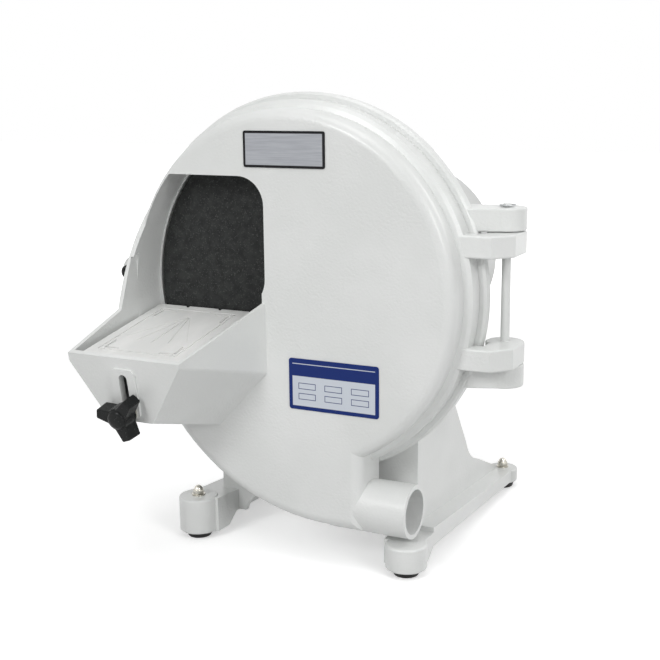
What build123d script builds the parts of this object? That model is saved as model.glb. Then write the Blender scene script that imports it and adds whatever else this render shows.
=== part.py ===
from build123d import *
from math import cos, hypot, radians, sin, sqrt
import os

# Dental model trimmer. Millimetres, X to the right, Y to the back, Z up.
# The origin is the centre of the four foot positions, on the bench.
# The 12 inch grinding disc sets the size of the castings round it.

# Clearances
running_gap = 0.08
joint_gap = 0.3

# Grinding disc
disc_r = 152.4
disc_grit = 2.0
disc_plate = 8.0
disc_front_y = -117.0
disc_edge_gap = 3.9
disc_bolt_circle = 23.0

# Round front cover
casting_wall = 4.7
face_wall = 4.2
cover_depth = 40.5
cover_inner_r = disc_r + disc_edge_gap
cover_r = cover_inner_r + casting_wall
cover_edge_r = 10.0
cover_lip = 1.5
joint_y = disc_front_y + 5.5
face_y = joint_y - cover_depth
cover_inner_y = face_y + face_wall
flange_r = cover_r + 7.0
flange_front_y = joint_y - 18.0
cover_back_y = joint_y - joint_gap / 2

# Dust scroll under the cover. Its lowest point sets the height of the machine.
scroll_x = 40.0
scroll_drop = 9.4
scroll_low_z = 39.51
scroll_foot = 34.0
scroll_r = cover_r + hypot(scroll_x, scroll_drop)
scroll_z = scroll_low_z + scroll_r
scroll_right_x = scroll_x + scroll_foot
scroll_back_wall = 4.0
scroll_back_y = joint_y - scroll_back_wall
axis_z = scroll_z + scroll_drop

# Dust outlet tube, a nominal 1 1/2 inch pipe
tube_bore_r = 20.3
tube_wall = 4.2
tube_length = 42.0
tube_rise = 18.29
tube_r = tube_bore_r + tube_wall
tube_y = face_y + tube_r + 0.3
tube_z = scroll_low_z + tube_rise
tube_start_x = scroll_x + 2.0
tube_end_x = scroll_right_x + tube_length

# Opening in the cover and the hood wall beside it
opening_right_x = -18.5
opening_top_z = axis_z + 102.0
opening_bottom_z = axis_z - 15.0
opening_corner_r = 26.0
hood_wall = casting_wall + 0.6
hood_front_slope = 0.35
hood_zero_z = axis_z + 49.0

# Model table and the box it drops into
table_tilt = 10.5
table_width = 100.9
table_length = 121.5
table_thickness = 7.0
table_groove = 0.7
table_border = 9.0
table_rear_y = disc_front_y - 3.6
table_rear_z = axis_z - 26.2
table_left_x = 2.0 - cover_inner_r
table_right_x = table_left_x + table_width
table_middle_x = (table_left_x + table_right_x) / 2
box_wall = 4.6
box_room = 0.9
box_front = table_length + box_room + box_wall
box_left_x = table_left_x - 12.7
box_right_x = table_right_x + 3.9
box_edge_r = 5.0
pivot_drop = 13.0
pivot_ahead = 6.0
pivot_r = 3.0
pivot_boss_r = 5.4
pivot_left_x = table_left_x - 1.7
pivot_right_x = table_right_x + 6.4

# Clamp stud, its slot and the knob
stud_x = table_left_x + 44.8
stud_drop = 50.0
stud_r = 4.0
slot_width = 2 * stud_r + 0.6
slot_top = -15.0
slot_bottom = -stud_drop - 5.0
box_depth = stud_drop + 10.0
box_root_drop = 130.0
pad_height = 2.0
washer_thickness = 1.7

# Rear housing
drum_inner_r = disc_r + 4.6
drum_r = drum_inner_r + 5.0
rear_flange_r = flange_r + 6.0
rear_flange_back_y = joint_y + 13.5
drum_back_y = joint_y + 37.5
drum_plate = 6.0
housing_bore_r = 24.0
housing_bolt_r = 4.0

# Hinge on the right-hand side
pin_r = 4.0
lug_r = 17.0
lug_round = 1.6
pin_x = rear_flange_r + 8.0
pin_y = joint_y + 27.5
lug_middle_z = axis_z - 1.0
cover_lug_in = 38.6
cover_lug_out = cover_lug_in + 19.0
rear_lug_in = cover_lug_out + 0.6
rear_lug_out = rear_lug_in + 19.8
lug_root_x = cover_r - 21.0
lug_clear_x = sqrt(rear_flange_r ** 2 - cover_lug_in ** 2) + 1.93

# Latch on the left-hand side
latch_x = -rear_flange_r - 4.0
latch_z = axis_z + 6.0
latch_ear_r = 14.0
latch_spindle_r = 4.0
latch_tongue = 9.0
latch_tongue_width = 7.6
latch_slot_width = 10.8
latch_knob_r = 13.0

# Hub and motor
shaft_r = 8.0
hub_r = 32.0
hub_neck_r = 17.0
motor_r = 88.0
motor_wall = 4.0
motor_length = 138.0
motor_bell_r = motor_r + 4.0
motor_front_y = drum_back_y
shell_front_y = motor_front_y + 32.0
shell_back_y = shell_front_y + motor_length
rear_bell_y = shell_back_y + 22.0
core_r = 46.0
core_air_gap = 1.0
core_front_y = shell_front_y + 39.0
core_back_y = shell_back_y - 39.0
cowl_r = motor_bell_r + 3.5
cowl_wall = 1.6
cowl_back_y = shell_back_y + 54.0
fan_r = 80.0
bearing_r = 20.0
bearing_width = 14.0
motor_bolt_circle = 74.6

# Wiring box on the left of the motor
wiring_x = -motor_r - 30.0
wiring_front_y = shell_front_y + 24.0
wiring_length = 64.0
wiring_half_height = 26.0
wiring_wall = 3.5
switch_y = wiring_front_y + 20.0
switch_z = axis_z + 6.0
switch_bush_r = 6.0
gland_x = wiring_x + 18.0
gland_z = axis_z - 4.0
gland_r = 6.0

# Base, feet and their fasteners
foot_x = 110.0
foot_y = 132.0
foot_r = 10.3
foot_neck_r = 7.5
foot_bolt_r = 3.0
pad_bottom = 6.5
pad_r = 19.0
rear_pad_r = 16.0
front_pad_top = 41.0
tube_side_pad_top = tube_z - tube_r - 3.8
rear_pad_top = 21.0
rail_inner_x = foot_x - 22.0
rail_outer_x = foot_x + 13.0
rail_round = 2.0
web_x = foot_x - 5.0
web_wall = 6.0
web_front_y = rear_flange_back_y + 4.0
mount_low_z = axis_z - (drum_inner_r - 56.0)
mount_high_z = axis_z - (drum_inner_r - 100.0)
mount_pad = 15.0
mount_x = web_x - 9.0

# Plates
name_plate_size = (80.0, 31.6)
name_plate_place = (3.0, axis_z + 125.8)
rating_plate_size = (88.0, 46.6)
rating_plate_place = (48.8, axis_z - 80.6)

machine_axis = Axis((0, 0, axis_z), (0, 1, 0))
axis_plane = Plane(origin=(0, 0, axis_z))
table_place = Location((0, table_rear_y, table_rear_z), (table_tilt, 0, 0))


def turned(*points):
    """Revolve a closed outline of (radius, y) points about the machine axis."""
    outline = make_face(Polyline(*points, close=True))
    return revolve(axis_plane * outline, machine_axis, 360)


def upright(y):
    """Plane facing the front at depth y, drawn in X and Z."""
    return Plane(origin=(0, y, 0), x_dir=(1, 0, 0), z_dir=(0, -1, 0))


def slab(shape, y_front, y_back):
    """Extrude a flat X-Z shape from y_front back to y_back."""
    return extrude(upright(y_back) * shape, y_back - y_front)


def rod_y(radius, x, z, y_front, y_back):
    """Round bar along Y."""
    return slab(Pos(x, z) * Circle(radius), y_front, y_back)


def rod_x(radius, x_left, x_right, y, z):
    """Round bar along X."""
    start = Plane(origin=(x_left, y, z), x_dir=(0, 1, 0), z_dir=(1, 0, 0))
    return extrude(start * Circle(radius), x_right - x_left)


def rod_z(radius, x, y, z_low, z_high):
    """Round bar along Z."""
    return extrude(Pos(x, y, z_low) * Circle(radius), z_high - z_low)


def bar(x0, x1, y0, y1, z0, z1):
    """Plain rectangular block between two corners."""
    size = (x1 - x0, y1 - y0, z1 - z0)
    return Pos((x0 + x1) / 2, (y0 + y1) / 2, (z0 + z1) / 2) * Box(*size)


def hexagon_y(radius, x, z, y_front, y_back):
    """Hexagonal bar along Y, radius to its corners."""
    return slab(Pos(x, z) * RegularPolygon(radius, 6), y_front, y_back)


def axis_ring(count, radius, start=0.0):
    """X-Z positions spaced evenly round the machine axis."""
    turns = [radians(start + 360.0 * i / count) for i in range(count)]
    return [(radius * cos(t), axis_z + radius * sin(t)) for t in turns]


def cover_outline(inset):
    """Outline of the cover: its circle with the dust scroll that opens out below it."""
    round_r = cover_r - inset
    reach = scroll_r - inset
    centres = hypot(scroll_x, scroll_drop)
    leave = (-round_r * scroll_x / centres, axis_z + round_r * scroll_drop / centres)
    middle = radians(215.0)
    on_scroll = (scroll_x + reach * cos(middle), scroll_z + reach * sin(middle))
    low = (scroll_x, scroll_z - reach)
    right_x = scroll_right_x - inset
    join = (right_x, axis_z - sqrt(round_r ** 2 - right_x ** 2))
    top = (0, axis_z + round_r)
    outline = ThreePointArc(join, top, leave) + ThreePointArc(leave, on_scroll, low)
    outline += Polyline(low, (right_x, low[1]), join)
    return make_face(outline)


def box_front_section(along, rise, inset):
    """Section of the table box square to the table, a length in front of its rear edge."""
    origin = table_place * Location((0, -along, 0))
    ahead = (0, -cos(radians(table_tilt)), -sin(radians(table_tilt)))
    plane = Plane(origin=origin.position, x_dir=(1, 0, 0), z_dir=ahead)
    side_inset = 0.55 * inset
    return plane * make_face(Polyline(
        (box_left_x + inset, rise), (box_left_x + inset, -8),
        (stud_x - 24.5 + inset, -box_depth + inset), (stud_x + 23.5 - inset, -box_depth + inset),
        (box_right_x - 0.5 - side_inset, -4), (box_right_x - side_inset, rise), close=True))


def box_root_section(y, rise, inset):
    """Section of the table box where it grows out of the cover."""
    low_z = axis_z - box_root_drop + inset
    return upright(y) * make_face(Polyline(
        (-cover_r + inset, axis_z - 12 + rise), (-cover_r + inset, axis_z - 37),
        (stud_x - 14.5 + inset, low_z), (stud_x + 39.5 - inset, low_z),
        (opening_right_x + 1.5 - inset, axis_z - 75),
        (opening_right_x + 1 - inset, axis_z - 9 + rise), close=True))


def table_box():
    """Open box in front of the cover, lofted from its front to the cover's face."""
    box = loft([box_front_section(box_front, 0, 0).face(),
                box_root_section(face_y + 3, 0, 0).face()], ruled=True)
    runs = box.edges().filter_by(lambda e: abs(e.tangent_at(0.5).Y) > 0.7)
    return fillet(runs.sort_by(Axis.Z)[:4], box_edge_r)


def table_box_hollow():
    """Space inside the table box and the well behind it, through the cover's face."""
    hollow = loft([box_front_section(box_front - box_wall, 40, box_wall).face(),
                   box_root_section(face_y - 0.5, 40, box_wall).face()], ruled=True)
    behind = upright(face_y - 1) * cover_outline(hood_wall)
    well = box_root_section(face_y - 1, 40, box_wall) & behind
    return hollow + extrude(well, -face_wall - 6)


def hood():
    """Side wall that carries the cover's outline forward beside the opening."""
    wall = slab(cover_outline(0) - cover_outline(hood_wall), face_y - 48, face_y + 12)
    low_z = axis_z - 46
    high_z = axis_z + 101
    side = Plane(origin=(-cover_r - 14, 0, 0), x_dir=(0, 1, 0), z_dir=(1, 0, 0))
    sloped = make_face(Polyline(
        (face_y + 22, low_z), (face_y - (hood_zero_z - low_z) * hood_front_slope, low_z),
        (face_y - (hood_zero_z - high_z) * hood_front_slope, high_z), (face_y + 22, high_z),
        close=True))
    return wall & extrude(side * sloped, 75)


def opening_outline(grow):
    """Outline of the opening, limited by the hood wall on the left."""
    plain = make_face(Polyline(
        (-cover_r - 14, opening_bottom_z - grow), (opening_right_x + grow, opening_bottom_z - grow),
        (opening_right_x + grow, opening_top_z + grow), (-cover_r - 14, opening_top_z + grow),
        close=True))
    right = plain.vertices().sort_by(Axis.X)[-2:]
    return fillet(right, opening_corner_r + grow) & cover_outline(hood_wall)


def rounded_prism(outline, z_low, z_high, radius):
    """Upright prism with its top and bottom rims rounded."""
    prism = extrude(Pos(0, 0, z_low) * outline, z_high - z_low)
    return fillet(prism.edges().filter_by(Plane.XY), radius)


def cover_lug(z_low, z_high):
    """Hinge lug that reaches back from the cover flange round the pin."""
    shoulder_y = joint_y - 0.5
    outline = make_face(Polyline(
        (lug_root_x, flange_front_y), (pin_x + 2, flange_front_y), (pin_x + lug_r, shoulder_y),
        (pin_x + lug_r, pin_y), (pin_x, pin_y), (lug_clear_x, pin_y - 16),
        (lug_clear_x, cover_back_y), (lug_root_x, cover_back_y), close=True))
    outline += Pos(pin_x, pin_y) * Circle(lug_r)
    return rounded_prism(outline, z_low, z_high, lug_round)


def rear_lug(z_low, z_high):
    """Hinge lug that reaches out from the rear housing to the pin."""
    outline = make_face(Polyline(
        (lug_root_x, joint_y + 1), (pin_x - 24, joint_y + 1), (pin_x, pin_y - lug_r),
        (pin_x, pin_y + lug_r), (lug_root_x, drum_back_y), close=True))
    outline += Pos(pin_x, pin_y) * Circle(lug_r)
    return rounded_prism(outline, z_low, z_high, lug_round)


def latch_ear():
    """Flat ear drawn in X and Z that the latch spindle passes through."""
    root_x = -cover_r + 11
    spread = latch_ear_r + 9
    web = make_face(Polyline(
        (latch_x, latch_z + latch_ear_r), (root_x, latch_z + spread),
        (root_x, latch_z - spread), (latch_x, latch_z - latch_ear_r), close=True))
    return web + Pos(latch_x, latch_z) * Circle(latch_ear_r)


def pivot_point():
    """Y and Z of the table pivot."""
    place = table_place * Location((0, -pivot_ahead, -pivot_drop))
    return place.position.Y, place.position.Z


def pivot_bosses():
    """Bosses for the table pivot, on the side wall and on a bracket behind the face."""
    y, z = pivot_point()
    left = rod_x(pivot_boss_r, pivot_left_x - 4, pivot_left_x + 7, y, z)
    right = rod_x(pivot_boss_r, pivot_right_x - 13, pivot_right_x + 1, y, z)
    low_z, high_z = z - pivot_boss_r, z + pivot_boss_r
    right += bar(pivot_right_x - 5, pivot_right_x + 1, face_y + 2, y, low_z, high_z)
    right += bar(pivot_right_x - 5, opening_right_x + 6.5, face_y + 2, face_y + 12, low_z, high_z)
    return left + right


def box_pad():
    """Raised pad round the slot on the front of the table box."""
    pad = Pos(stud_x, -33) * RectangleRounded(25, 46, 5)
    place = table_place * Location((0, -box_front + 0.5, 0), (90, 0, 0))
    return place * extrude(pad, pad_height + 0.5)


def slot_cut():
    """Slot the clamp stud slides in, right through the front of the table box."""
    middle = (slot_top + slot_bottom) / 2
    place = table_place * Location((0, -box_front + 12, 0), (90, 0, 0))
    outline = Pos(stud_x, middle) * SlotOverall(slot_top - slot_bottom, slot_width, rotation=90)
    return place * extrude(outline, 20)


def seal_ring(gap):
    """Soft ring in a groove of the cover flange."""
    groove_r = (cover_inner_r + flange_r) / 2
    inner = groove_r - 2 - gap
    outer = groove_r + 2 + gap
    return turned((inner, joint_y - 3), (outer, joint_y - 3), (outer, cover_back_y),
                  (inner, cover_back_y))


def front_cover():
    """Round cover with its scroll, outlet, hood, table box, hinge lugs and latch ear."""
    shell = slab(cover_outline(0), face_y, cover_back_y)
    shell = fillet(shell.edges().filter_by(lambda e: e.center().Y < face_y + 0.01), cover_edge_r)
    shell += turned((cover_r - 3, flange_front_y - 2), (flange_r - 3, flange_front_y),
                    (flange_r, flange_front_y + 2.5), (flange_r, cover_back_y),
                    (cover_r - 3, cover_back_y))
    tube = rod_x(tube_r, tube_start_x, tube_end_x, tube_y, tube_z)
    tube += Pos(tube_start_x, tube_y, tube_z) * Sphere(tube_r)
    body = shell + hood() + table_box() + tube
    for low_z in (lug_middle_z + cover_lug_in, lug_middle_z - cover_lug_out):
        body += cover_lug(low_z, low_z + cover_lug_out - cover_lug_in)
    body += slab(latch_ear(), flange_front_y + 3, cover_back_y)

    dust_way = slab(cover_outline(casting_wall), cover_inner_y, scroll_back_y)
    dust_way += rod_x(tube_bore_r, tube_start_x, tube_end_x + 1, tube_y, tube_z)
    body -= dust_way
    mouth = Pos(0, axis_z) * Circle(cover_inner_r - cover_lip)
    body -= slab(mouth, scroll_back_y - 1, joint_y + 1)
    body -= slab(opening_outline(0), face_y - 40, cover_inner_y + 1)
    body -= table_box_hollow()

    y, z = pivot_point()
    body += pivot_bosses()
    body -= rod_x(pivot_r, pivot_left_x, pivot_right_x, y, z)
    body += box_pad() - slot_cut()
    body -= slot_cut()
    body -= rod_z(pin_r + running_gap, pin_x, pin_y, lug_middle_z - 80, lug_middle_z + 80)
    body -= rod_y(latch_spindle_r + running_gap, latch_x, latch_z, flange_front_y, joint_y + 1)
    body -= seal_ring(0.05)
    return body


def mount_points():
    """Where the rear housing is bolted to the pads on the pedestal."""
    return [(sx * mount_x, z) for sx in (-1, 1) for z in (mount_low_z, mount_high_z)]


def rear_housing():
    """Drum behind the disc, with its flange, hinge lugs, latch ear and motor seat."""
    front_y = joint_y + joint_gap / 2
    plate_y = drum_back_y - drum_plate
    body = turned(
        (drum_inner_r, front_y), (rear_flange_r - 2, front_y), (rear_flange_r, front_y + 2),
        (rear_flange_r, rear_flange_back_y - 3), (rear_flange_r - 3, rear_flange_back_y),
        (drum_r, rear_flange_back_y), (drum_r, drum_back_y - 8), (drum_r - 8, drum_back_y),
        (housing_bore_r, drum_back_y), (housing_bore_r, plate_y - 3),
        (housing_bore_r + 24, plate_y - 3), (housing_bore_r + 28, plate_y),
        (drum_inner_r - 6, plate_y), (drum_inner_r, plate_y - 6))
    drum_room = rod_y(drum_inner_r, 0, axis_z, joint_y - 1, plate_y)
    for low_z in (lug_middle_z + rear_lug_in, lug_middle_z - rear_lug_out):
        body += rear_lug(low_z, low_z + rear_lug_out - rear_lug_in) - drum_room
    body += slab(latch_ear(), front_y, rear_flange_back_y) - drum_room
    pin_hole_half = rear_lug_out + running_gap
    body -= rod_z(pin_r + running_gap, pin_x, pin_y,
                  lug_middle_z - pin_hole_half, lug_middle_z + pin_hole_half)
    slot = SlotOverall(2 * latch_tongue + 2.6, latch_slot_width, rotation=90)
    body -= slab(Pos(latch_x, latch_z) * slot, joint_y - 1, rear_flange_back_y + 1)
    for x, z in axis_ring(4, motor_bolt_circle, 45):
        body -= rod_y(housing_bolt_r + 0.2, x, z, plate_y - 14, drum_back_y + 1)
    for x, z in mount_points():
        body -= rod_y(housing_bolt_r + 0.05, x, z, plate_y - 14, drum_back_y + 1)
    return body


def housing_bolts():
    """Hexagon bolts through the back plate into the pedestal pads."""
    head_y = drum_back_y - drum_plate
    bolts = []
    for x, z in mount_points():
        head = hexagon_y(7.0, x, z, head_y - 5.3, head_y)
        bolts.append(head + rod_y(housing_bolt_r, x, z, head_y - 0.5, drum_back_y + 13))
    return Compound(bolts)


def hinge_pin():
    """Long pin through the four lugs, grooved at both ends for the clips."""
    low = lug_middle_z - rear_lug_out - 3
    high = lug_middle_z + rear_lug_out + 3
    pin = rod_z(pin_r, pin_x, pin_y, low, high)
    for z in (low + 1, high - 2):
        groove = rod_z(pin_r + 1, pin_x, pin_y, z, z + 1)
        pin -= groove - rod_z(pin_r - 0.8, pin_x, pin_y, z, z + 1)
    ends = pin.edges().filter_by(GeomType.CIRCLE).sort_by(Axis.Z)
    return chamfer([ends[0], ends[-1]], 0.6)


def hinge_clips():
    """Split rings that snap into the two grooves of the hinge pin."""
    clips = []
    for z in (lug_middle_z - rear_lug_out - 2, lug_middle_z + rear_lug_out + 1):
        ring = rod_z(pin_r + 3, pin_x, pin_y, z + 0.05, z + 0.95)
        ring -= rod_z(pin_r - 0.8, pin_x, pin_y, z, z + 1)
        mouth = bar(pin_x, pin_x + pin_r + 8, pin_y - 2.2, pin_y + 2.2, z, z + 1)
        clips.append(ring - mouth)
    return Compound(clips)


def latch_spindle():
    """Turning spindle whose tongue passes the slot in the rear ear, then locks behind it."""
    tongue_front = rear_flange_back_y + 0.4
    shank = rod_y(latch_spindle_r, latch_x, latch_z, flange_front_y - 8, tongue_front + 1)
    collar_y = flange_front_y + 0.9
    shank += rod_y(latch_spindle_r + 3, latch_x, latch_z, collar_y, collar_y + 2)
    tongue = SlotOverall(2 * latch_tongue, latch_tongue_width, rotation=90)
    return shank + slab(Pos(latch_x, latch_z) * tongue, tongue_front, tongue_front + 3)


def latch_knob():
    """Round fluted knob moulded on the latch spindle."""
    front_y = flange_front_y - 17
    back_y = flange_front_y + 0.8
    knob = rod_y(latch_knob_r, latch_x, latch_z, front_y, back_y - 5)
    knob = fillet(knob.edges().filter_by(GeomType.CIRCLE), 2.0)
    for i in range(12):
        x = latch_x + (latch_knob_r + 0.7) * cos(radians(30 * i))
        z = latch_z + (latch_knob_r + 0.7) * sin(radians(30 * i))
        knob -= rod_y(1.6, x, z, front_y - 1, back_y)
    knob += rod_y(latch_spindle_r + 3, latch_x, latch_z, back_y - 6, back_y)
    return knob - rod_y(latch_spindle_r, latch_x, latch_z, flange_front_y - 8, back_y + 1)


def foot_places():
    """Foot positions with the height of the pad's top above each one."""
    return [(-foot_x, -foot_y, front_pad_top), (-foot_x, foot_y, rear_pad_top),
            (foot_x, foot_y, rear_pad_top), (foot_x, -foot_y, tube_side_pad_top)]


def rail(sign):
    """Side rail of the base with its two foot pads, hollowed from below."""
    side = Plane(origin=(0, 0, 0), x_dir=(0, 1, 0), z_dir=(1, 0, 0))
    front_top = front_pad_top - 0.5 if sign < 0 else tube_side_pad_top + 6.5
    profile = make_face(Polyline(
        (-foot_y, front_top), (foot_y, rear_pad_top - 0.8), (foot_y, pad_bottom + 1.5),
        (-foot_y + 34, pad_bottom + 10), (-foot_y + 20, pad_bottom), (-foot_y, pad_bottom),
        close=True))
    width = rail_outer_x - rail_inner_x
    start = rail_inner_x if sign > 0 else -rail_outer_x
    body = Pos(start, 0, 0) * extrude(side * profile, width)
    body -= bar(start + 5, start + width - 5, -foot_y + 24, foot_y - 18, 0, pad_bottom + 6.5)
    rear_pad = rod_z(rear_pad_r, sign * foot_x, foot_y, pad_bottom, rear_pad_top)
    front_top = front_pad_top if sign < 0 else tube_side_pad_top
    front_pad = rod_z(pad_r, sign * foot_x, -foot_y, pad_bottom, front_top)
    for pad in (rear_pad, front_pad):
        body += fillet(pad.edges().filter_by(GeomType.CIRCLE), rail_round)
    return body


def base_casting():
    """Hollow pedestal with a rail and two foot pads on each side."""
    side = Plane(origin=(0, 0, 0), x_dir=(0, 1, 0), z_dir=(1, 0, 0))
    seat_y = drum_back_y + 0.2
    top_z = axis_z - 29
    rear_y = foot_y - 66
    foot_curve = ThreePointArc((rear_y - 34, 76), (rear_y - 21, 59), (rear_y, 49))
    profile = make_face(
        Polyline((rear_y, 49), (foot_y - 8, 24), (foot_y - 8, 10), (web_front_y, 17),
                 (web_front_y, mount_low_z), (seat_y, mount_low_z), (seat_y, top_z),
                 (seat_y + 11.8, top_z - 8), (rear_y - 34, 76)) + foot_curve)
    body = extrude(side * profile, web_x, both=True)
    body -= bar(-web_x + web_wall, web_x - web_wall, web_front_y + web_wall, foot_y + 18,
                -1, top_z + 18)
    arch = Pos(0, 11) * RectangleRounded(2 * rail_inner_x - 16, 54, 26)
    body -= slab(arch, web_front_y - 1, web_front_y + web_wall + 1)
    for sign in (1, -1):
        body += rail(sign)
        inner, outer = sorted((sign * (web_x - 24), sign * web_x))
        body += bar(inner, outer, seat_y, drum_back_y + mount_pad,
                    mount_low_z - 8, mount_high_z + 10)
    body -= rod_y(drum_r + 0.3, 0, axis_z, -foot_y - 8, seat_y)
    body -= rod_y(rear_flange_r + 1.5, 0, axis_z, -foot_y - 8, rear_flange_back_y + 1)
    body -= bar(foot_x - 27, foot_x + 40, -foot_y - 28, tube_y + tube_r + 4,
                tube_side_pad_top, tube_z + 2)
    for x, y, top in foot_places():
        blind = (x, y) == (foot_x, -foot_y)
        body -= rod_z(foot_bolt_r + 0.25, x, y, 0, top - 3.5 if blind else top + 19)
    for x, z in mount_points():
        body -= rod_y(housing_bolt_r + 0.05, x, z, drum_back_y - 1, drum_back_y + mount_pad + 1)
    return body


def rubber_feet():
    """Four rubber feet, each recessed below for the head of its bolt."""
    made = []
    for x, y, top in foot_places():
        foot = rod_z(foot_r, x, y, 0, pad_bottom)
        rims = foot.edges().filter_by(GeomType.CIRCLE).sort_by(Axis.Z)
        foot = chamfer(rims[:1], 1.4)
        foot -= rod_z(foot_neck_r, x, y, -1, 2.4)
        made.append(foot - rod_z(foot_bolt_r + 0.05, x, y, 0, pad_bottom + 1))
    return Compound(made)


def foot_bolts():
    """Bolts up through the feet. The one under the outlet tube ends inside its pad."""
    bolts = []
    for x, y, top in foot_places():
        end = top + 7.0 if (x, y) != (foot_x, -foot_y) else 12.0
        head = rod_z(foot_neck_r - 0.4, x, y, 1.0, 2.4)
        bolts.append(head + rod_z(foot_bolt_r, x, y, 2.0, end))
    return Compound(bolts)


def foot_washers():
    """Washers on the three pads whose bolts come through."""
    rings = []
    for x, y, top in foot_places()[:3]:
        ring = rod_z(6.5, x, y, top, top + 1.4)
        rings.append(ring - rod_z(foot_bolt_r + 0.2, x, y, top - 1, top + 2))
    return Compound(rings)


def acorn_nuts():
    """Domed hexagon nuts on the three washers."""
    nuts = []
    for x, y, top in foot_places()[:3]:
        seat = top + 1.4
        nut = extrude(Pos(x, y, seat) * RegularPolygon(5.6, 6), 4.2)
        dome = Pos(x, y, seat + 4.2) * Sphere(4.4)
        nut += dome & bar(x - 9, x + 9, y - 9, y + 9, seat + 1, seat + 12)
        nuts.append(nut - rod_z(foot_bolt_r + 0.01, x, y, seat - 1, top + 7.0))
    return Compound(nuts)


def disc_backing():
    """Cast backing plate the grit disc is stuck to."""
    front = disc_front_y + disc_grit
    back = front + disc_plate
    hub_seat_r = hub_r + 14
    body = turned((14, front), (disc_r, front), (disc_r, back), (disc_r - 4, back),
                  (disc_r - 8, back - 3.5), (hub_seat_r + 6, back - 3.5), (hub_seat_r, back),
                  (14, back))
    for x, z in axis_ring(4, disc_bolt_circle):
        body -= rod_y(2.6, x, z, front - 1, back + 1)
        body -= rod_y(4.8, x, z, front - 1, front + 2.4)
    return body


def grit_disc():
    """Abrasive ring bonded to the front of the backing plate."""
    back = disc_front_y + disc_grit
    edge_r = disc_r - 0.6
    return turned((hub_r + 2, disc_front_y), (edge_r, disc_front_y), (edge_r, back),
                  (hub_r + 2, back))


def disc_hub():
    """Steel hub that carries the backing plate on the motor shaft."""
    front = disc_front_y + disc_grit + disc_plate
    back = drum_back_y - 16
    bore_r = shaft_r + 0.01
    body = turned((bore_r, front - 4), (14, front - 4), (14, front), (hub_r, front),
                  (hub_r, front + 5), (hub_neck_r + 1, front + 6), (hub_neck_r, back),
                  (bore_r, back))
    for x, z in axis_ring(4, disc_bolt_circle):
        body -= rod_y(2.5, x, z, front - 1, front + 6)
    return body


def hub_screws():
    """Sunk socket screws through the plate into the hub."""
    front = disc_front_y + disc_grit
    made = []
    for x, z in axis_ring(4, disc_bolt_circle):
        shank = rod_y(2.5, x, z, front + 2, front + disc_plate + 4)
        head = rod_y(4.4, x, z, front + 0.2, front + 2.4)
        made.append(shank + head - hexagon_y(1.9, x, z, front, front + 1.6))
    return Compound(made)


def disc_centre_screw():
    """Hexagon screw and washer that clamp the hub on the shaft."""
    seat = disc_front_y + disc_grit + disc_plate - 4
    head = hexagon_y(7.4, 0, axis_z, seat - 7.2, seat - 2)
    washer = rod_y(12.5, 0, axis_z, seat - 2, seat)
    return head + washer + rod_y(4.0, 0, axis_z, seat - 0.2, seat + 22)


def motor_shaft():
    """Shaft from the hub to the cooling fan, tapped at the front."""
    front = disc_front_y + disc_grit + disc_plate - 1
    shaft = rod_y(shaft_r, 0, axis_z, front, cowl_back_y - 12)
    return shaft - rod_y(4.0, 0, axis_z, front - 1, front + 20)


def motor_front_bell():
    """Cast front end of the motor with its bearing seat, bolted to the drum."""
    seat = motor_front_y
    inner_r = motor_r - motor_wall
    race_r = bearing_r + 7
    body = turned(
        (24, seat), (motor_bell_r - 8, seat), (motor_bell_r - 2, seat + 6),
        (motor_bell_r, seat + 12), (motor_bell_r, shell_front_y), (inner_r, shell_front_y),
        (inner_r, seat + 16), (race_r, seat + 12), (race_r, seat + 24), (bearing_r, seat + 24),
        (bearing_r, seat + 8), (24, seat + 8))
    for x, z in axis_ring(4, motor_bolt_circle, 45):
        body -= rod_y(housing_bolt_r, x, z, seat - 1, seat + 14)
    return body


def motor_shell():
    """Rolled sleeve round the stator."""
    inner_r = motor_r - motor_wall
    return turned((inner_r, shell_front_y), (motor_r, shell_front_y), (motor_r, shell_back_y),
                  (inner_r, shell_back_y))


def motor_rear_bell():
    """Cast rear end of the motor with its bearing seat and air holes."""
    back = rear_bell_y
    inner_r = motor_r - motor_wall
    race_r = bearing_r + 7
    hole_r = shaft_r + 3
    body = turned(
        (inner_r, shell_back_y), (motor_bell_r, shell_back_y), (motor_bell_r, back - 4),
        (motor_bell_r - 4, back), (hole_r, back), (hole_r, back - 4), (bearing_r, back - 4),
        (bearing_r, back - 20), (race_r, back - 20), (race_r, back - 6), (inner_r, back - 8))
    for x, z in axis_ring(12, motor_r - 28):
        body -= rod_y(6.5, x, z, back - 9, back + 1)
    return body


def bearing(y_front):
    """Ball race drawn as one ring with its shield recess at the front."""
    y_back = y_front + bearing_width
    bore = shaft_r + running_gap / 2
    ring = turned((bore, y_front), (bearing_r, y_front), (bearing_r, y_back), (bore, y_back))
    shield_in = shaft_r + 3.2
    shield_out = bearing_r - 3.2
    ring -= turned((shield_in, y_front - 1), (shield_out, y_front - 1),
                   (shield_out, y_front + 1.2), (shield_in, y_front + 1.2))
    return ring


def motor_stator():
    """Laminated core pressed in the shell, with its ring of windings."""
    inner_r = core_r + core_air_gap
    outer_r = motor_r - motor_wall
    core = turned((inner_r, core_front_y), (outer_r, core_front_y), (outer_r, core_back_y),
                  (inner_r, core_back_y))
    windings = turned((core_r + 5, core_front_y - 16), (core_r + 21, core_front_y - 14),
                      (core_r + 21, core_back_y + 14), (core_r + 5, core_back_y + 16))
    return core + windings


def motor_rotor():
    """Rotor stack pressed on the shaft."""
    bore_r = shaft_r + 0.01
    front, back = core_front_y - 4, core_back_y + 4
    return turned((bore_r, front), (core_r, front), (core_r, back), (bore_r, back))


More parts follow.
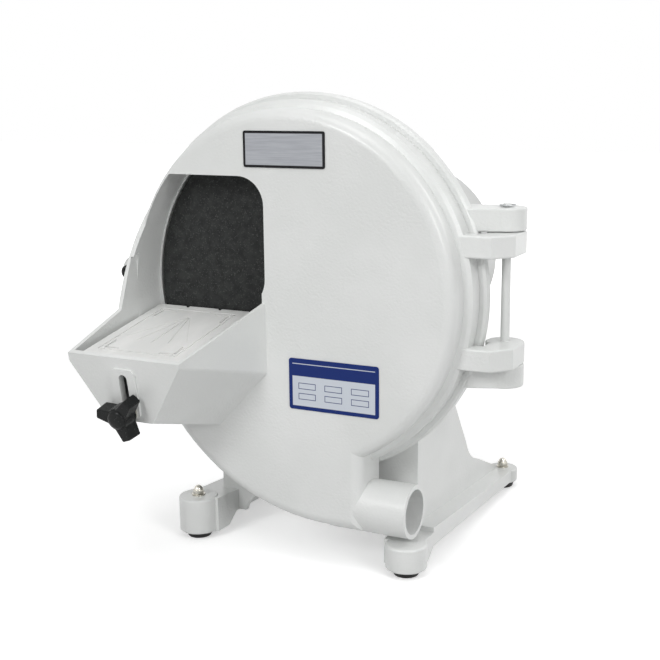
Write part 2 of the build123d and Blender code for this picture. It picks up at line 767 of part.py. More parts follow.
def cooling_fan():
    """Ten straight blades on a disc behind the rear bell."""
    front = rear_bell_y + 2.5
    body = turned((shaft_r, front), (fan_r, front), (fan_r, front + 1.6),
                  (shaft_r + 10, front + 1.6), (shaft_r + 8, front + 15), (shaft_r, front + 15))
    for i in range(10):
        blade = bar(shaft_r + 9, fan_r, front + 1, front + 14, axis_z - 1, axis_z + 1)
        body += blade.rotate(machine_axis, 36 * i)
    return body


def fan_cowl():
    """Pressed cover over the fan with rings of air holes."""
    front = shell_back_y + 8
    back = cowl_back_y
    bend = 10
    body = turned(
        (cowl_r, front), (cowl_r, back - bend), (cowl_r - bend, back), (0, back),
        (0, back - cowl_wall), (cowl_r - bend - 0.6, back - cowl_wall),
        (cowl_r - cowl_wall - 0.2, back - bend - 0.6), (cowl_r - cowl_wall - 0.2, front + 11),
        (motor_bell_r, front + 9), (motor_bell_r, front))
    for count, radius in ((8, 22), (14, 40), (20, 58)):
        for x, z in axis_ring(count, radius):
            body -= rod_y(4.6, x, z, back - 4, back + 1)
    return body


def motor_bolts():
    """Socket cap screws that hold the motor on the rear housing."""
    head_y = drum_back_y - drum_plate
    made = []
    for x, z in axis_ring(4, motor_bolt_circle, 45):
        head = rod_y(6.2, x, z, head_y - 6, head_y)
        head -= hexagon_y(3.4, x, z, head_y - 7, head_y - 3)
        made.append(head + rod_y(housing_bolt_r, x, z, head_y - 0.5, motor_front_y + 12))
    return Compound(made)


def conduit_box():
    """Wiring box on the left of the motor that carries the switch and the cable gland."""
    back_y = wiring_front_y + wiring_length
    low_z, high_z = axis_z - wiring_half_height, axis_z + wiring_half_height
    wall = wiring_wall
    box = bar(wiring_x, wiring_x + 38, wiring_front_y, back_y, low_z, high_z)
    box = fillet(box.edges().filter_by(lambda e: e.center().X < wiring_x + 18), 4.0)
    box -= rod_y(motor_r + 0.01, 0, axis_z, wiring_front_y - 42, back_y + 44)
    box -= bar(wiring_x + wall, wiring_x + 48, wiring_front_y + wall, back_y - wall,
               low_z + wall, high_z - wall)
    box -= rod_y(gland_r + 0.02, gland_x, gland_z, back_y - 16, back_y + 4)
    return box - rod_x(switch_bush_r + 0.1, wiring_x - 4, wiring_x + 8, switch_y, switch_z)


def switch_body():
    """Toggle switch behind the wall of the box, with its bush and nut outside."""
    nut_x = wiring_x - 2.4
    bush = rod_x(switch_bush_r, wiring_x - 6, wiring_x + 14, switch_y, switch_z)
    case = bar(wiring_x + 6, wiring_x + 18, switch_y - 14, switch_y + 14,
               switch_z - 8, switch_z + 8)
    start = Plane(origin=(nut_x, switch_y, switch_z), x_dir=(0, 1, 0), z_dir=(1, 0, 0))
    nut = extrude(start * RegularPolygon(9.0, 6), 2.4)
    return bush + case + nut - rod_x(4.1, wiring_x - 7, wiring_x + 4, switch_y, switch_z)


def switch_lever():
    """Ball-ended lever of the toggle switch, leaning to its off side."""
    pivot_x = wiring_x + 0.6
    start = Plane(origin=(pivot_x, switch_y, switch_z), x_dir=(0, 1, 0), z_dir=(-1, 0, 0))
    stem = loft([(start * Circle(1.7)).face(), (start.offset(22) * Circle(3.0)).face()])
    stem += Pos(pivot_x - 22, switch_y, switch_z) * Sphere(3.1)
    stem += Pos(pivot_x, switch_y, switch_z) * Sphere(2.8)
    return stem.rotate(Axis((pivot_x, switch_y, switch_z), (0, 1, 0)), 14)


def cord_gland():
    """Screwed gland in the back of the wiring box, where a supply cord would enter."""
    wall_y = wiring_front_y + wiring_length
    body = rod_y(gland_r, gland_x, gland_z, wall_y - 10, wall_y + 10)
    body += hexagon_y(gland_r + 3, gland_x, gland_z, wall_y, wall_y + 6)
    body += rod_y(gland_r + 2, gland_x, gland_z, wall_y + 6, wall_y + 14)
    return body - rod_y(3.6, gland_x, gland_z, wall_y - 16, wall_y + 16)


def box_screws():
    """Four screw heads on the side of the wiring box."""
    made = []
    for y in (wiring_front_y + 8, wiring_front_y + wiring_length - 8):
        for z in (axis_z - 18, axis_z + 18):
            made.append(rod_x(2.8, wiring_x - 1.6, wiring_x, y, z))
    return Compound(made)


def corner_mark(x, y, turn_x, turn_y):
    """L-shaped groove near one corner of the table, 15 across and 17 along."""
    across = bar(min(x, x + turn_x * 15), max(x, x + turn_x * 15), y - 1.1, y + 1.1, -1.6, 1)
    along = bar(x - 1.1, x + 1.1, min(y, y + turn_y * 17), max(y, y + turn_y * 17), -1.6, 1)
    return across + along


def model_table():
    """Plate with a raised bed, corner grooves and setting lines, ribbed underneath."""
    low, high = table_left_x, table_right_x
    front, border = -table_length, table_border
    plate = bar(low, high, front, 0, -table_thickness, 0)
    plate = fillet(plate.edges().filter_by(Axis.Z), 2.0)
    rim = bar(low + border, high - border, front + border, -border, -table_groove, 1)
    step = border + 1.6
    bed = bar(low + step, high - step, front + step, -step, -table_groove - 1, 1)
    plate -= rim - bed
    for turn_x, x in ((1, low + 14), (-1, high - 14)):
        plate -= corner_mark(x, front + 14, turn_x, 1)
        plate -= corner_mark(x, -14, turn_x, -1)
    for angle in (-30, -15, 0, 15, 30):
        place = Pos(table_middle_x, -24, 0.4) * Rot(0, 0, angle) * Pos(0, -34, 0)
        plate -= place * Box(0.8, 62, 1.8)
    for x in (table_middle_x - 18, table_middle_x + 18):
        plate -= bar(x - 2, x + 2, -3, 1, -table_thickness - 1, 1)
    under = -table_thickness + 0.5
    rib_low = -table_thickness - 9
    for x in (low + 14, high - 24):
        plate += bar(x, x + 4, front + 12, -14, rib_low, under)
    knuckle_left, knuckle_right = low + 8.3, high - 8.6
    plate += rod_x(pivot_boss_r, knuckle_left, knuckle_right, -pivot_ahead, -pivot_drop)
    plate += bar(knuckle_left, knuckle_right, -pivot_ahead - pivot_boss_r, -pivot_ahead + 3,
                 -pivot_drop, under)
    plate -= rod_x(pivot_r + running_gap, low - 16, high + 13, -pivot_ahead, -pivot_drop)
    return table_place * plate


def along_stud(radius, near, far):
    """Round bar on the line of the clamp stud, from near to far in front of the table's rear."""
    start = Plane(origin=(stud_x, -near, -stud_drop), x_dir=(1, 0, 0), z_dir=(0, -1, 0))
    return extrude(start * Circle(radius), far - near)


def bracket_screw_places():
    """How far in front of the table's rear edge the two bracket screws sit."""
    return (table_length - 39.5, table_length - 21.5)


def table_bracket():
    """Angle bracket under the table that carries the clamp stud."""
    front = -table_length
    under = -table_thickness
    body = bar(stud_x - 14, stud_x + 14, front + 7, front + 51.5, under - 5, under)
    body += bar(stud_x - 10, stud_x + 10, front + 6, front + 12, -stud_drop - 7.5, under)
    for ahead in bracket_screw_places():
        body -= rod_z(2.5, stud_x, -ahead, under - 23, under + 7)
    return table_place * (body - along_stud(stud_r + 0.01, table_length - 40, table_length + 20))


def bracket_screws():
    """Two screws up through the bracket into the table."""
    under = -table_thickness
    made = []
    for ahead in bracket_screw_places():
        head = rod_z(4.4, stud_x, -ahead, under - 8, under - 5)
        made.append(head + rod_z(2.5, stud_x, -ahead, under - 6, under))
    return table_place * Compound(made)


def clamp_stud():
    """Stud from the bracket out through the slot into the knob."""
    return table_place * along_stud(stud_r, table_length - 12, box_front + 22)


def clamp_washer():
    """Washer between the raised pad and the knob."""
    near = box_front + pad_height + 0.05
    ring = along_stud(9.5, near, near + washer_thickness)
    return table_place * (ring - along_stud(stud_r + 0.01, near - 1, near + 3))


def clamp_knob():
    """Five-lobed hand knob with a moulded hub and cap."""
    near = box_front + pad_height + washer_thickness + 0.1
    star_near = box_front + 9
    start = Plane(origin=(stud_x, -star_near, -stud_drop), x_dir=(1, 0, 0), z_dir=(0, -1, 0))
    star = Circle(12.0)
    for i in range(5):
        turn = radians(90 + 72 * i)
        star += Pos(13.5 * cos(turn), 13.5 * sin(turn)) * Circle(5.6)
    for i in range(5):
        turn = radians(126 + 72 * i)
        star -= Pos(17.5 * cos(turn), 17.5 * sin(turn)) * Circle(6.8)
    knob = extrude(start * star, 12)
    knob = fillet(knob.edges().filter_by(lambda e: e.center().Y < -star_near - 11.5), 1.8)
    knob += along_stud(8.2, near, star_near + 1) + along_stud(9.0, star_near + 11, star_near + 13.5)
    return table_place * (knob - along_stud(stud_r + running_gap, near - 3, star_near + 13.1))


def table_pivot_pin():
    """Pin the table tilts on, held in the bosses of the cover."""
    pin = rod_x(pivot_r - 0.01, pivot_left_x, pivot_right_x, -pivot_ahead, -pivot_drop)
    return table_place * pin


def name_plate():
    """Blank metal plate near the top of the cover."""
    outline = Pos(*name_plate_place) * RectangleRounded(*name_plate_size, 2)
    return slab(outline, face_y - 0.9, face_y)


def rating_plate():
    """Blank label on the lower right of the cover."""
    outline = Pos(*rating_plate_place) * RectangleRounded(*rating_plate_size, 2.5)
    return slab(outline, face_y - 0.6, face_y)


parts = {
    "base_casting": base_casting(),
    "rubber_feet": rubber_feet(),
    "foot_bolts": foot_bolts(),
    "foot_washers": foot_washers(),
    "acorn_nuts": acorn_nuts(),
    "rear_housing": rear_housing(),
    "housing_bolts": housing_bolts(),
    "front_cover": front_cover(),
    "cover_seal": seal_ring(0),
    "name_plate": name_plate(),
    "rating_plate": rating_plate(),
    "hinge_pin": hinge_pin(),
    "hinge_clips": hinge_clips(),
    "latch_spindle": latch_spindle(),
    "latch_knob": latch_knob(),
    "grit_disc": grit_disc(),
    "disc_plate": disc_backing(),
    "disc_hub": disc_hub(),
    "hub_screws": hub_screws(),
    "disc_centre_screw": disc_centre_screw(),
    "motor_shaft": motor_shaft(),
    "motor_front_bell": motor_front_bell(),
    "motor_shell": motor_shell(),
    "motor_rear_bell": motor_rear_bell(),
    "front_bearing": bearing(motor_front_y + 9),
    "rear_bearing": bearing(rear_bell_y - 19),
    "motor_stator": motor_stator(),
    "motor_rotor": motor_rotor(),
    "cooling_fan": cooling_fan(),
    "fan_cowl": fan_cowl(),
    "motor_bolts": motor_bolts(),
    "conduit_box": conduit_box(),
    "switch_body": switch_body(),
    "switch_lever": switch_lever(),
    "cord_gland": cord_gland(),
    "box_screws": box_screws(),
    "model_table": model_table(),
    "table_bracket": table_bracket(),
    "bracket_screws": bracket_screws(),
    "table_pivot_pin": table_pivot_pin(),
    "clamp_stud": clamp_stud(),
    "clamp_washer": clamp_washer(),
    "clamp_knob": clamp_knob(),
}

os.makedirs("parts", exist_ok=True)
for node, shape in parts.items():
    export_step(shape, f"parts/{node}.step")
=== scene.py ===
from math import cos, pi, radians, sin

import bmesh
import bpy
from mathutils import Matrix, Vector


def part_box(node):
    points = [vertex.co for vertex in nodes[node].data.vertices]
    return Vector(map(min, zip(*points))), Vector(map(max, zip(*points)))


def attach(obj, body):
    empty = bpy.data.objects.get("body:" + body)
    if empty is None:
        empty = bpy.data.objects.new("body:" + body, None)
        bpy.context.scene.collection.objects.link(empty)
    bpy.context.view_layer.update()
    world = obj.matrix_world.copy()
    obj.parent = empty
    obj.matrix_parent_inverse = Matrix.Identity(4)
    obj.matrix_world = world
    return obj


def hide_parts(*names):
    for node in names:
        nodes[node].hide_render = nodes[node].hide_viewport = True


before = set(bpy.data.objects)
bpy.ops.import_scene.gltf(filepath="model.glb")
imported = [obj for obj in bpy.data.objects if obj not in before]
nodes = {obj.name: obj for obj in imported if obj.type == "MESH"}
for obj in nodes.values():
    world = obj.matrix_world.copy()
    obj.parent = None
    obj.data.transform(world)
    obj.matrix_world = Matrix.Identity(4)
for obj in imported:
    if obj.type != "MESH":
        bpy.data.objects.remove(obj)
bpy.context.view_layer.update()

# The bench-top model trimmer, dressed for the picture. Metres, X to the right, Y to the back,
# Z up, the origin on the bench in the middle of the four feet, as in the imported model.
MM = 0.001


# Castings: rear housing, base and round cover
# Sand-cast aluminium, fettled and sprayed with a thick white enamel that dries with an
# orange-peel skin. The enamel pools at corners and picks up a little grey in the hollows.
class Wire:
    """Output of a shader node. Arithmetic on it adds Math nodes to the same graph."""

    def __init__(self, graph, socket):
        self.graph = graph
        self.socket = socket

    def math(self, operation, first, second):
        return self.graph.node("ShaderNodeMath", {"operation": operation}, {0: first, 1: second})

    def __add__(self, other):
        return self.math("ADD", self, other)

    def __radd__(self, other):
        return self.math("ADD", other, self)

    def __sub__(self, other):
        return self.math("SUBTRACT", self, other)

    def __rsub__(self, other):
        return self.math("SUBTRACT", other, self)

    def __mul__(self, other):
        return self.math("MULTIPLY", self, other)

    def __rmul__(self, other):
        return self.math("MULTIPLY", other, self)

    def __abs__(self):
        return self.math("ABSOLUTE", self, 0.0)

    def low(self, other):
        return self.math("MINIMUM", self, other)


class Graph:
    """Node tree of a material or world. node() makes any node and links what is a Wire."""

    def __init__(self, tree):
        self.tree = tree

    def node(self, kind, settings, inputs, output=0):
        made = self.tree.nodes.new(kind)
        for name, value in settings.items():
            setattr(made, name, value)
        for name, value in inputs.items():
            if isinstance(value, Wire):
                self.tree.links.new(value.socket, made.inputs[name])
            else:
                made.inputs[name].default_value = value
        return Wire(self, made.outputs[output])


class Finish(Graph):
    """Surface finish with a Principled shader. Uniform values are set on its sockets."""

    def __init__(self, name, **fixed):
        self.material = bpy.data.materials.new(name)
        self.material.use_nodes = True
        super().__init__(self.material.node_tree)
        self.shader = self.tree.nodes["Principled BSDF"]
        for socket, value in fixed.items():
            self.shader.inputs[socket.replace("_", " ")].default_value = value
        self.place = self.node("ShaderNodeTexCoord", {}, {}, "Object")

    def drive(self, socket, wire):
        self.tree.links.new(wire.socket, self.shader.inputs[socket])

    def axes(self):
        split = self.node("ShaderNodeSeparateXYZ", {}, {0: self.place}).socket.node
        return [Wire(self, split.outputs[i]) for i in range(3)]

    def stretched(self, x, y, z):
        return self.node("ShaderNodeVectorMath", {"operation": "MULTIPLY"},
                         {0: self.place, 1: (x, y, z)})

    def noise(self, scale, detail=2.0, roughness=0.5, at=None):
        inputs = {"Vector": at or self.place, "Scale": scale, "Detail": detail,
                  "Roughness": roughness}
        return self.node("ShaderNodeTexNoise", {}, inputs)

    def cells(self, scale, output="Distance"):
        return self.node("ShaderNodeTexVoronoi", {}, {"Vector": self.place, "Scale": scale}, output)

    def fade(self, value, start, end, low=0.0, high=1.0):
        inputs = {"Value": value, "From Min": start, "From Max": end, "To Min": low, "To Max": high}
        return self.node("ShaderNodeMapRange", {"interpolation_type": "SMOOTHSTEP"}, inputs)

    def mix(self, factor, first, second):
        inputs = {0: factor, 6: first, 7: second}
        return self.node("ShaderNodeMix", {"data_type": "RGBA"}, inputs, 2)

    def bump(self, height, strength, distance):
        normal = self.node("ShaderNodeBump", {}, {"Height": height, "Strength": strength,
                                                  "Distance": distance}, "Normal")
        self.drive("Normal", normal)

    def paint(self, *names):
        for name in names:
            slots = nodes[name].data.materials
            slots.clear()
            slots.append(self.material)


def enamel(name, colour, shade, peel_scale, peel_depth):
    """Sprayed enamel: slow drift of colour, orange-peel skin and uneven gloss."""
    made = Finish(name, Coat_Weight=0.25, Coat_Roughness=0.18, Specular_IOR_Level=0.45)
    drift = made.fade(made.noise(11.0, 3.0), 0.35, 0.68)
    made.drive("Base Color", made.mix(drift, shade, colour))
    peel = made.noise(peel_scale, 1.5, 0.4)
    fine = made.noise(peel_scale * 2.7, 2.0, 0.5)
    patch = made.fade(made.noise(26.0, 2.0), 0.3, 0.7, 0.45, 1.0)
    made.bump((peel + 0.35 * fine) * patch, 0.5, peel_depth)
    made.drive("Roughness", 0.26 + 0.16 * made.noise(60.0, 3.0))
    return made


white_enamel = enamel("white_enamel", (0.775, 0.785, 0.775, 1), (0.725, 0.738, 0.725, 1),
                      420.0, 0.7 * MM)
white_enamel.paint("rear_housing", "base_casting", "front_cover")

# Rubber feet
# Moulded black rubber bumpers with a bolt through each, dull and a little dusty.
rubber = Finish("foot_rubber", Specular_IOR_Level=0.35)
dust = rubber.fade(rubber.noise(90.0, 4.0), 0.52, 0.75)
rubber.drive("Base Color", rubber.mix(dust, (0.012, 0.012, 0.012, 1), (0.045, 0.044, 0.042, 1)))
rubber.drive("Roughness", 0.5 + 0.25 * rubber.noise(300.0, 2.0))
rubber.bump(rubber.noise(1500.0, 2.0), 0.25, 0.2 * MM)
rubber.paint("cover_seal")
bolt_head_r = 7.1 * MM
bolt_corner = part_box("foot_bolts")[1]
pad_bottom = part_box("base_casting")[0].z
foot_x = bolt_corner.x - bolt_head_r
foot_y = bolt_corner.y - bolt_head_r


def lathe(mesh, profile, place, steps=48):
    """Ring of faces round the Z axis of place, from a closed outline of (radius, height) in mm."""
    rise = Vector((0, 0, 1))
    rings = []
    for i in range(steps):
        turn = 2 * pi * i / steps
        spoke = Vector((cos(turn), sin(turn), 0))
        rings.append([mesh.verts.new(place @ ((r * spoke + h * rise) * MM)) for r, h in profile])
    for i in range(steps):
        near, far = rings[i], rings[(i + 1) % steps]
        for j in range(len(profile)):
            k = (j + 1) % len(profile)
            mesh.faces.new((near[j], far[j], far[k], near[k]))


def finished(mesh, name, finish, body, *stands_for):
    """Turn a bmesh into a smooth-shaded object that rides on its body for some nodes."""
    bmesh.ops.remove_doubles(mesh, verts=mesh.verts, dist=1e-6)
    bmesh.ops.recalc_face_normals(mesh, faces=mesh.faces)
    for face in mesh.faces:
        face.smooth = True
    data = bpy.data.meshes.new(name)
    mesh.to_mesh(data)
    mesh.free()
    data.materials.append(finish.material)
    made = bpy.data.objects.new(name, data)
    bpy.context.scene.collection.objects.link(made)
    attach(made, body)
    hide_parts(*stands_for)
    return made


def soften(piece, width, angle=30):
    """Round the sharp edges of a moulding and keep its flat faces flat."""
    bevel = piece.modifiers.new("rounded_edges", "BEVEL")
    bevel.width = width * MM
    bevel.segments = 3
    bevel.limit_method = "ANGLE"
    bevel.angle_limit = radians(angle)
    piece.modifiers.new("flat_faces", "WEIGHTED_NORMAL").keep_sharp = True


foot_top = pad_bottom / MM - 0.1
shank_r = 4.4
pocket_r = 7.5
pocket_top = 3.6
foot_outline = [(shank_r, foot_top), (12.3, foot_top), (12.6, foot_top - 0.8), (11.6, 1.4),
                (11.1, 0.5), (10.4, 0), (pocket_r + 0.1, 0), (pocket_r, pocket_top),
                (shank_r, pocket_top)]
mesh = bmesh.new()
for side in (-1, 1):
    for end in (-1, 1):
        lathe(mesh, foot_outline, Matrix.Translation((side * foot_x, end * foot_y, 0)))
feet = finished(mesh, "foot_bumpers", rubber, "machine", "rubber_feet")
soften(feet, 0.35)


# Fasteners and pins
# Turned and stamped steel, nickel or zinc plated: acorn nuts and washers on the feet, the
# hinge clips, screws, bolts, the latch spindle and the table's pivot and bracket.
def plated(name, colour, tarnish, low_rough, high_rough):
    """Plated metal with tarnish blooms and fine wipe marks."""
    made = Finish(name, Metallic=1.0)
    bloom = made.fade(made.noise(140.0, 3.0), 0.42, 0.72)
    made.drive("Base Color", made.mix(bloom, colour, tarnish))
    marks = made.noise(500.0, 3.0, at=made.stretched(0.3, 1.0, 2.2))
    made.drive("Roughness", made.fade(marks, 0.3, 0.7, low_rough, high_rough))
    made.bump(marks, 0.12, 0.1 * MM)
    return made


nickel = plated("nickel_plate", (0.66, 0.64, 0.58, 1), (0.42, 0.40, 0.35, 1), 0.12, 0.28)
nickel.paint("acorn_nuts", "foot_washers", "clamp_washer", "disc_centre_screw", "clamp_stud")
zinc = plated("zinc_plate", (0.58, 0.59, 0.60, 1), (0.42, 0.43, 0.44, 1), 0.24, 0.42)
zinc.paint("foot_bolts", "housing_bolts", "hinge_clips", "latch_spindle", "hub_screws",
           "motor_bolts", "box_screws", "bracket_screws", "table_pivot_pin", "table_bracket")
steel = plated("turned_steel", (0.50, 0.50, 0.50, 1), (0.36, 0.35, 0.34, 1), 0.22, 0.40)
steel.paint("motor_shaft", "disc_hub", "front_bearing", "rear_bearing", "disc_plate")

# Hinge pin
# Long steel rod through the four lugs. It takes the castings' white enamel, as it looks white
# in the picture.
white_enamel.paint("hinge_pin")

# Abrasive disc
# Black grit bonded to a steel plate, dull, with the odd fine grain that catches the light.
# It lies flat on the plate and shows through the opening.
grit = Finish("black_grit", Specular_IOR_Level=0.3)
grain = grit.cells(1500.0)
glint = grit.node("ShaderNodeSeparateColor", {}, {0: grit.cells(1300.0, "Color")})
sparkle = grit.fade(glint, 0.90, 0.96)
cloud = grit.fade(grit.noise(120.0, 3.0), 0.3, 0.7)
dark = grit.mix(cloud, (0.014, 0.015, 0.015, 1), (0.030, 0.032, 0.031, 1))
grit.drive("Base Color", grit.mix(sparkle, dark, (0.055, 0.058, 0.056, 1)))
grit.drive("Roughness", 0.72 - 0.15 * sparkle)
grit.bump(grain + 0.5 * grit.noise(900.0, 2.0), 0.7, 0.35 * MM)
grit.paint("grit_disc")

# Model table
# Cast aluminium plate, machined, engraved with setting lines and sprayed in a thin flat
# coat, so the tool marks still show along it.
flat_coat = Finish("table_coat", Specular_IOR_Level=0.4)
along_table = flat_coat.stretched(1.0, 0.25, 1.0)
smear = flat_coat.fade(flat_coat.noise(45.0, 4.0, at=along_table), 0.35, 0.7)
flat_coat.drive("Base Color", flat_coat.mix(smear, (0.76, 0.765, 0.75, 1), (0.83, 0.83, 0.815, 1)))
tool = flat_coat.noise(900.0, 2.0, at=flat_coat.stretched(1.0, 0.08, 1.0))
flat_coat.drive("Roughness", 0.38 + 0.2 * tool)
flat_coat.bump(tool, 0.15, 0.15 * MM)
flat_coat.paint("model_table")

# Knobs and gland
# Compression-moulded black thermoset with fine scuffs: a clamp knob with three deep arms and
# a domed boss, screwed on the table's stud, a small latch knob, the switch cap and the gland.
moulding = Finish("black_moulding", Specular_IOR_Level=0.14, Coat_Weight=0.04, Coat_Roughness=0.1)
scuff = moulding.fade(moulding.noise(380.0, 5.0, 0.65), 0.58, 0.72)
near_black, scuffed = (0.010, 0.011, 0.011, 1), (0.030, 0.031, 0.031, 1)
moulding.drive("Base Color", moulding.mix(scuff, near_black, scuffed))
moulding.drive("Roughness", 0.22 + 0.3 * scuff)
moulding.bump(moulding.noise(700.0, 2.0), 0.15, 0.15 * MM)
moulding.paint("cord_gland", "switch_body")
stud_low, stud_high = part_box("clamp_stud")
stud_middle = (stud_low + stud_high) / 2
stud_slope = radians(10.5)
knob_place = Matrix.Translation(stud_middle) @ Matrix.Rotation(pi / 2 + stud_slope, 4, "X")
arm_reach, arm_half, hub_radius = 21.0, 4.4, 10.2
arm_back, arm_front = 1.6, 17.6
arm_draft = 1.04
tip_bulge, tip_corner = 0.6, 0.9
mesh = bmesh.new()
outline = []


def on_hub(along, turns):
    """Points on the hub's circle, at some turns in degrees from the arm's direction."""
    return [Matrix.Rotation(radians(turn), 3, "Z") @ along * hub_radius for turn in turns]


for arm in (50, 170, 290):
    across = Vector((-sin(radians(arm)), cos(radians(arm)), 0))
    along = Vector((cos(radians(arm)), sin(radians(arm)), 0))
    shoulder = along * (arm_reach - tip_bulge)
    tip = along * arm_reach
    outline += on_hub(along, (-60, -48, -36))
    outline += [shoulder - across * arm_half, tip - across * (arm_half - tip_corner),
                tip + across * (arm_half - tip_corner), shoulder + across * arm_half]
    outline += on_hub(along, (36, 48))
front = [mesh.verts.new(knob_place @ ((p + Vector((0, 0, arm_front))) * MM)) for p in outline]
rear = [mesh.verts.new(knob_place @ ((p * arm_draft + Vector((0, 0, arm_back))) * MM))
        for p in outline]
mesh.faces.new(front)
mesh.faces.new(reversed(rear))
for i in range(len(outline)):
    j = (i + 1) % len(outline)
    mesh.faces.new((front[i], rear[i], rear[j], front[j]))
arms = finished(mesh, "clamp_knob_arms", moulding, "table_knob", "clamp_knob")
soften(arms, 1.1, 35)
mesh = bmesh.new()
stud_hole_r = 4.1
boss = [(stud_hole_r, 0.2), (8.4, 0.2), (8.8, 1.0), (8.8, 17.0), (8.9, 17.8), (8.2, 18.9),
        (6.2, 19.7), (3.2, 20.1), (0, 20.2), (0, 19.0), (stud_hole_r, 19.0)]
lathe(mesh, boss, knob_place)
finished(mesh, "clamp_knob_boss", moulding, "table_knob", "clamp_knob")
latch_low, latch_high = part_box("latch_knob")
latch_middle = (latch_low + latch_high) / 2
mesh = bmesh.new()
spindle_hole_r = 4.1
latch_outline = [(spindle_hole_r, 1.0), (5.4, 1.0), (5.2, 3.0), (5.0, 5.0), (6.2, 6.6), (6.9, 8.6),
                 (6.7, 10.8), (5.4, 12.4), (3.0, 13.2), (0, 13.4), (0, 9.0), (spindle_hole_r, 9.0)]
latch_seat = Matrix.Translation((latch_middle.x, latch_high.y, latch_middle.z))
lathe(mesh, latch_outline, latch_seat @ Matrix.Rotation(pi / 2, 4, "X"))
finished(mesh, "latch_knob_moulded", moulding, "latch", "latch_knob")

# Motor
# Rolled steel shell between two cast end bells, a pressed fan cowl and a pressed switch
# box, all in a smoother spray of the same white.
motor_enamel = enamel("motor_enamel", (0.60, 0.61, 0.60, 1), (0.55, 0.56, 0.55, 1), 700.0, 0.2 * MM)
motor_enamel.paint("motor_front_bell", "motor_shell", "motor_rear_bell", "fan_cowl", "conduit_box")
iron = plated("core_iron", (0.20, 0.19, 0.18, 1), (0.12, 0.11, 0.10, 1), 0.45, 0.6)
iron.paint("motor_stator", "motor_rotor", "cooling_fan")
zinc.paint("switch_lever")

# Name plate
# Satin aluminium plate with a printed black edge, left blank. It is stuck to the cover near
# the top.
plate_low, plate_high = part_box("name_plate")
plate_middle = (plate_low + plate_high) / 2
plate_half = (plate_high - plate_low) / 2
satin = Finish("name_plate_print", Metallic=0.85)
x, _, z = satin.axes()
from_side = plate_half.x - abs(x - plate_middle.x)
from_top = plate_half.z - abs(z - plate_middle.z)
edge = from_side.low(from_top)
black = satin.fade(edge, 2.1 * MM, 2.3 * MM, 1.0, 0.0)
brushed = satin.noise(900.0, 3.0, at=satin.stretched(0.05, 1.0, 1.0))
field = satin.mix(brushed, (0.22, 0.23, 0.25, 1), (0.36, 0.37, 0.39, 1))
satin.drive("Base Color", satin.mix(black, field, (0.012, 0.012, 0.013, 1)))
satin.drive("Roughness", 0.3 + 0.12 * brushed)
satin.bump(brushed, 0.1, 0.05 * MM)
satin.paint("name_plate")

# Rating label
# Printed foil label, stuck to the cover: a blue field with a rule and a pale panel of empty
# boxes, with no words.
label_low, label_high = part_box("rating_plate")
label_middle = (label_low + label_high) / 2
print_blue = (0.007, 0.024, 0.150, 1)
print_white = (0.62, 0.66, 0.72, 1)
foil = Finish("rating_label_print", Specular_IOR_Level=0.16)
x, _, z = foil.axes()


def panel(middle_x, middle_z, half_x, half_z):
    """1 inside a rectangle on the label, measured from the label's middle."""
    across = half_x * MM - abs(x - (label_middle.x + middle_x * MM))
    up = half_z * MM - abs(z - (label_middle.z + middle_z * MM))
    return foil.fade(across.low(up), -0.12 * MM, 0.12 * MM)


pale = panel(0, -6.2, 40.5, 13.6)
rule = panel(0, 18.6, 40.5, 0.35)
boxes = 0.0
for row in (-1.5, -11.0):
    for column in (-26.0, 0.0, 26.0):
        boxes = boxes + panel(column, row, 8.6, 2.9) - panel(column, row, 8.0, 2.3)
ink = foil.mix((pale + rule).low(1.0), print_blue, print_white)
foil.drive("Base Color", foil.mix(boxes, ink, print_blue))
foil.drive("Roughness", 0.3 + 0.1 * foil.noise(200.0, 2.0))
foil.bump(foil.noise(260.0, 2.0), 0.12, 0.1 * MM)
foil.paint("rating_plate")

# Floor and background
# White paper sweep. It glows a little to the lens, more with distance from the part, so that
# the ground shows white and keeps the part's shadow.
floor_size = 6.0
sheet = bmesh.new()
bmesh.ops.create_grid(sheet, x_segments=1, y_segments=1, size=floor_size)
floor_mesh = bpy.data.meshes.new("floor")
sheet.to_mesh(floor_mesh)
sheet.free()
floor = bpy.data.objects.new("floor", floor_mesh)
bpy.context.scene.collection.objects.link(floor)
paper = Finish("paper", Roughness=0.95, Specular_IOR_Level=0.0)


def seen_directly(graph):
    """1 for what the lens sees, straight or in a gloss, 0 for what lights the part."""
    rays = graph.node("ShaderNodeLightPath", {}, {}).socket.node
    seen = [Wire(graph, rays.outputs[kind]) for kind in
            ("Is Camera Ray", "Is Glossy Ray", "Is Transmission Ray")]
    return (seen[0] + seen[1] + seen[2]).low(1.0)


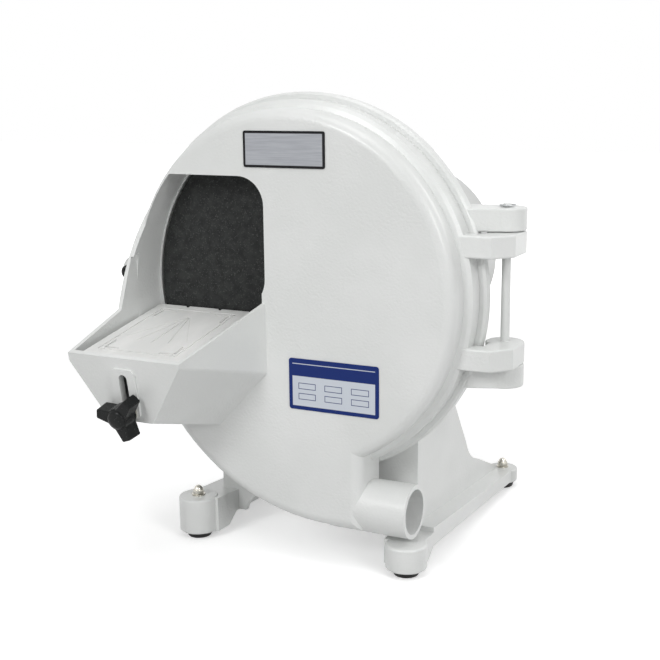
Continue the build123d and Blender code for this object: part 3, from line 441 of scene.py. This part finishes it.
seen = seen_directly(paper)
paper.drive("Base Color", paper.mix(seen, (0.58, 0.58, 0.58, 1), (0.95, 0.95, 0.95, 1)))
reach = paper.node("ShaderNodeVectorMath", {"operation": "LENGTH"}, {0: paper.place}, "Value")
white_out = paper.fade(reach, 0.80, 1.7, 0.37, 1.0)
glow = paper.node("ShaderNodeEmission", {}, {"Color": (1, 1, 1, 1), "Strength": white_out * seen})
lit = paper.node("ShaderNodeAddShader", {}, {0: Wire(paper, paper.shader.outputs[0]), 1: glow})
paper.tree.links.new(lit.socket, paper.tree.nodes["Material Output"].inputs["Surface"])
floor_mesh.materials.append(paper.material)

# Light
# Soft boxes from the front, the right, above and behind, and an even white tent.
world = bpy.data.worlds.new("studio")
world.use_nodes = True
bpy.context.scene.world = world
tent = Graph(world.node_tree)
tent_level = 0.36
level = tent_level + (1.0 - tent_level) * seen_directly(tent)
sky = tent.node("ShaderNodeBackground", {}, {"Color": (1, 1, 1, 1), "Strength": level})
world.node_tree.links.new(sky.socket, world.node_tree.nodes["World Output"].inputs["Surface"])
aim = Vector((0, -0.05, 0.22))


def lamp(name, place, size, power):
    """Square soft box that faces the middle of the part."""
    data = bpy.data.lights.new(name, "AREA")
    data.size = size
    data.energy = power
    made = bpy.data.objects.new(name, data)
    made.location = place
    made.rotation_euler = (aim - made.location).to_track_quat("-Z", "Y").to_euler()
    bpy.context.scene.collection.objects.link(made)


lamp("key", Vector((-0.45, -2.3, 1.45)), 0.7, 19.5)
lamp("fill", Vector((2.0, -1.2, 1.3)), 0.8, 16)
lamp("top", Vector((0.2, -0.5, 2.6)), 1.4, 15)
lamp("back", Vector((1.6, 1.7, 1.6)), 1.4, 15)

# Camera
# Placed by matching the cover's circles, the feet and the table's corners in the picture.
azimuth = radians(27.1)
height = radians(11.91)
tilt = radians(-0.6)
back = Vector((sin(azimuth) * cos(height), -cos(azimuth) * cos(height), sin(height)))
level_right = Vector((cos(azimuth), sin(azimuth), 0))
level_up = back.cross(level_right)
right = cos(tilt) * level_right + sin(tilt) * level_up
up = -sin(tilt) * level_right + cos(tilt) * level_up
camera_data = bpy.data.cameras.new("camera")
camera_data.sensor_width = 36.0
camera_data.lens = 64.286
camera = bpy.data.objects.new("camera", camera_data)
turn = Matrix((right, up, back)).transposed().to_4x4()
camera.matrix_world = Matrix.Translation((0.5027, -1.0445, 0.4336)) @ turn
bpy.context.scene.collection.objects.link(camera)
bpy.context.scene.camera = camera
bpy.context.scene.view_settings.view_transform = "Standard"
